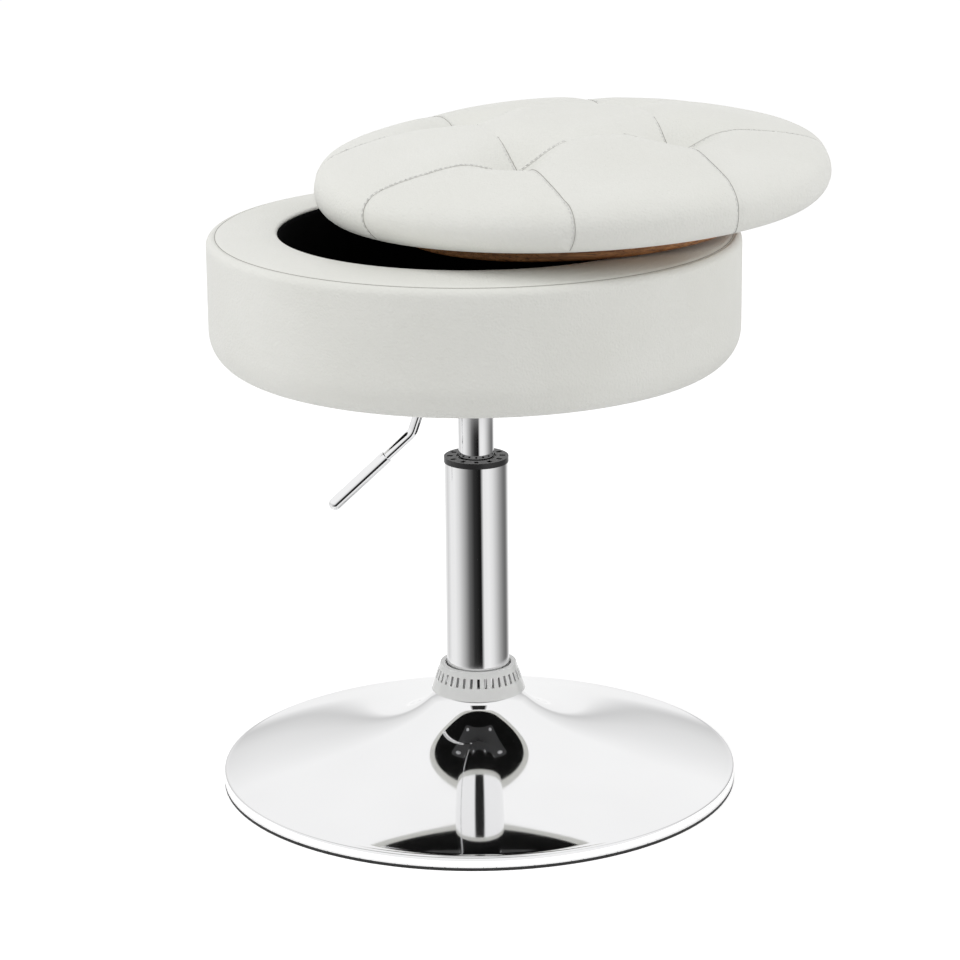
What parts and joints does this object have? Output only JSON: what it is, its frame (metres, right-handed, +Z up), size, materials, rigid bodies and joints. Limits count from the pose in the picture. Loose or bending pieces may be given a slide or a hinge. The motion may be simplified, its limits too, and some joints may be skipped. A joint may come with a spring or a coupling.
{
  "type": "swivel storage stool",
  "caption": "Round storage stool with a tufted lift-off lid over a padded drum, on a chrome gas-lift column with a trumpet base and a release lever.",
  "frame": {"origin": "on the floor, on the column's axis", "axes": "+Z up along the column, -Y towards the picture's camera, +X to the picture's right"},
  "size_m": [0.4783, 0.413, 0.5372],
  "materials": {
    "chrome": "mirror plated",
    "steel": "machined",
    "black_steel": "satin black",
    "brass": "plain",
    "rubber": "matte",
    "clear_plastic": "clear",
    "black_plastic": "moulded",
    "pale_plastic": "moulded",
    "faux_leather": "fine pebble grain",
    "foam": "open-cell foam",
    "twine": "waxed",
    "black_fabric": "non-woven",
    "board": "raw board",
    "brown_wood": "oiled dark grain"
  },
  "bodies": {
    "base": {"base_dish": "chrome", "base_floor_ring": "rubber", "base_socket": "steel", "trim_ring": "clear_plastic", "column_tube": "chrome", "column_foot_plate": "steel", "guide_bush": "pale_plastic", "column_collar": "black_plastic", "bearing_lower_race": "steel", "bearing_balls": "steel", "bearing_cage": "brass"},
    "rod": {"piston_rod": "steel", "piston_head": "steel", "piston_seal": "rubber", "bearing_upper_race": "steel", "rod_washer": "steel", "retaining_clip": "steel", "rubber_buffer": "rubber"},
    "seat": {"gas_cylinder": "chrome", "cylinder_gland": "steel", "valve_body": "steel", "seat_hub": "black_steel", "seat_plate": "black_steel", "lever_bracket": "black_steel", "lever_pivot_pin": "steel", "plate_bolts": "steel", "bolt_washers": "steel", "tee_nuts": "steel", "drum_floor_board": "board", "drum_wall": "board", "drum_foam": "foam", "drum_side_cover": "faux_leather", "drum_top_cover": "faux_leather", "well_lining": "black_fabric", "well_floor_pad": "black_fabric", "drum_dust_cover": "black_fabric"},
    "valve_pin": {"release_pin": "steel"},
    "lever": {"lever_rod": "chrome", "lever_grip": "chrome"},
    "lid": {"lid_board": "board", "lid_foam": "foam", "lid_cover": "faux_leather", "tuft_twines": "twine", "lid_tray": "brown_wood", "tray_screws": "steel"}
  },
  "joints": [
    {"name": "swivel", "type": "hinge", "parent": "base", "child": "rod", "pos_m": [0, 0, 0.035], "axis": [0, 0, 1], "continuous": true},
    {"name": "height", "type": "slide", "parent": "rod", "child": "seat", "axis": [0, 0, 1], "range_m": [-0.04, 0.11]},
    {"name": "lever_lift", "type": "hinge", "parent": "seat", "child": "lever", "pos_m": [-0.0235, 0, 0.3328], "axis": [0, 1, 0], "range_deg": [0, 8], "stiffness_Nm_per_rad": 0.6},
    {"name": "release_press", "type": "slide", "parent": "seat", "child": "valve_pin", "axis": [0, 0, -1], "range_m": [0, 0.0034]},
    {"name": "lid_lift", "type": "slide", "parent": "seat", "child": "lid", "axis": [0, 0, 1], "range_m": [0, 0.25]}
  ],
  "couplings": [
    {"joint": "release_press", "follows": "lever_lift", "m_per_rad": 0.0235}
  ]
}
